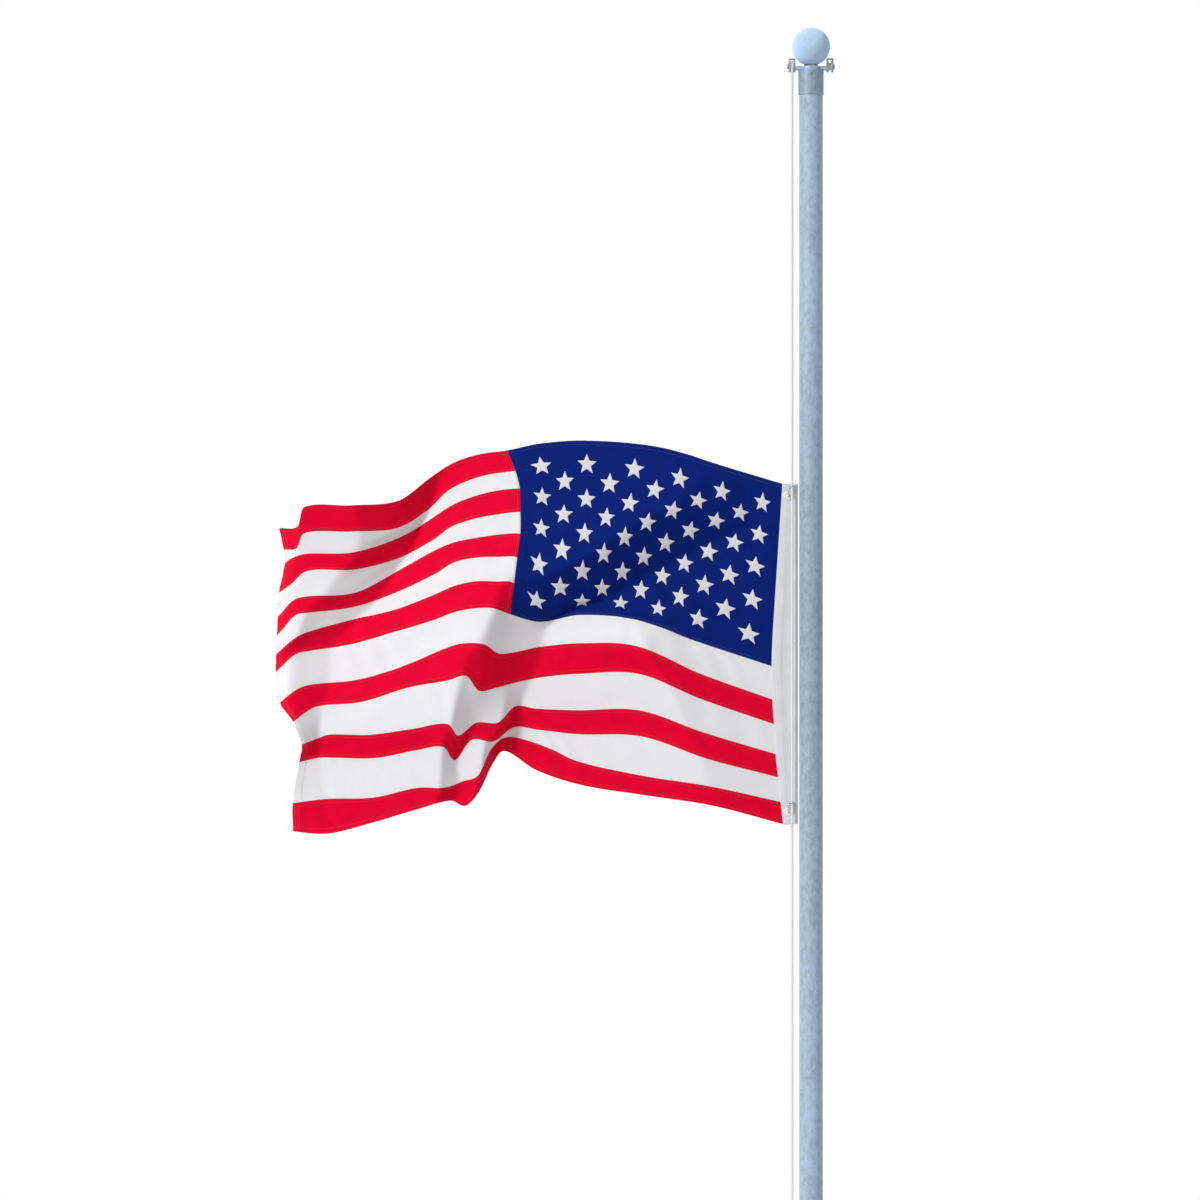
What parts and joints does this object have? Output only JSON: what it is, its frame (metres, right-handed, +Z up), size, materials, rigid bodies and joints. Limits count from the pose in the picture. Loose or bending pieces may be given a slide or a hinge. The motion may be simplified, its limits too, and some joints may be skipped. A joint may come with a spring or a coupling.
{
  "type": "flagpole",
  "caption": "Sectional aluminium flagpole with ball finial, sheaved truck, rope halyard, cleat and base shoe, and a striped flag that hoists along it.",
  "frame": {"origin": "centre of the base shoe's bottom face, on the pole's axis", "axes": "+Z up the pole, -X towards the flag's fly, +Y behind the pole"},
  "size_m": [1.533, 0.2055, 4.691],
  "materials": {
    "shaft_aluminium": "satin, cool blue-grey",
    "cast_aluminium": "sand-cast, painted over to a cool grey",
    "ball_finish": "spun, satin blue-grey",
    "steel_fastener": "zinc plated, dull",
    "sheave_plastic": "moulded nylon, worn",
    "halyard_rope": "solid braided polyester",
    "nylon_red": "dyed woven nylon with a slight sheen",
    "nylon_white": "woven nylon with a slight sheen",
    "nylon_blue": "dyed woven nylon with a slight sheen",
    "heading_canvas": "plain-woven canvas",
    "grommet_brass": "rolled brass, dull",
    "snap_metal": "nickel-plated wire"
  },
  "bodies": {
    "pole": {"base_set_screws": "steel_fastener", "base_shoe": "cast_aluminium", "cleat": "cast_aluminium", "cleat_screws": "steel_fastener", "finial_ball": "ball_finish", "finial_seat_nut": "steel_fastener", "finial_spindle": "steel_fastener", "halyard_back_fall": "halyard_rope", "halyard_cleat_bend": "halyard_rope", "halyard_cleat_turn": "halyard_rope", "halyard_front_fall": "halyard_rope", "halyard_sheave_bend": "halyard_rope", "left_sheave_axle": "steel_fastener", "right_sheave_axle": "steel_fastener", "shaft_lower_section": "shaft_aluminium", "shaft_middle_section": "shaft_aluminium", "shaft_top_section": "shaft_aluminium", "shaft_upper_section": "shaft_aluminium", "truck_collar": "cast_aluminium", "truck_head": "cast_aluminium", "truck_set_screws": "steel_fastener"},
    "flag": {"flag_canton": "nylon_blue", "flag_heading": "heading_canvas", "flag_stripe_01": "nylon_red", "flag_stripe_02": "nylon_white", "flag_stripe_03": "nylon_red", "flag_stripe_04": "nylon_white", "flag_stripe_05": "nylon_red", "flag_stripe_06": "nylon_white", "flag_stripe_07": "nylon_red", "flag_stripe_08": "nylon_white", "flag_stripe_09": "nylon_red", "flag_stripe_10": "nylon_white", "flag_stripe_11": "nylon_red", "flag_stripe_12": "nylon_white", "flag_stripe_13": "nylon_red", "lower_grommet": "grommet_brass", "lower_snap_hook": "snap_metal", "upper_grommet": "grommet_brass", "upper_snap_hook": "snap_metal"},
    "left_sheave_wheel": {"left_sheave": "sheave_plastic"},
    "right_sheave_wheel": {"right_sheave": "sheave_plastic"}
  },
  "joints": [
    {"name": "flag_hoist", "type": "slide", "parent": "pole", "child": "flag", "axis": [0, 0, 1], "range_m": [-1, 1]},
    {"name": "left_sheave_spin", "type": "hinge", "parent": "pole", "child": "left_sheave_wheel", "pos_m": [-0.051, 0, 4.586], "axis": [1, 0, 0], "continuous": true},
    {"name": "right_sheave_spin", "type": "hinge", "parent": "pole", "child": "right_sheave_wheel", "pos_m": [0.051, 0, 4.586], "axis": [1, 0, 0], "continuous": true}
  ],
  "couplings": [
    {"joint": "left_sheave_spin", "follows": "flag_hoist", "rad_per_m": -80}
  ]
}
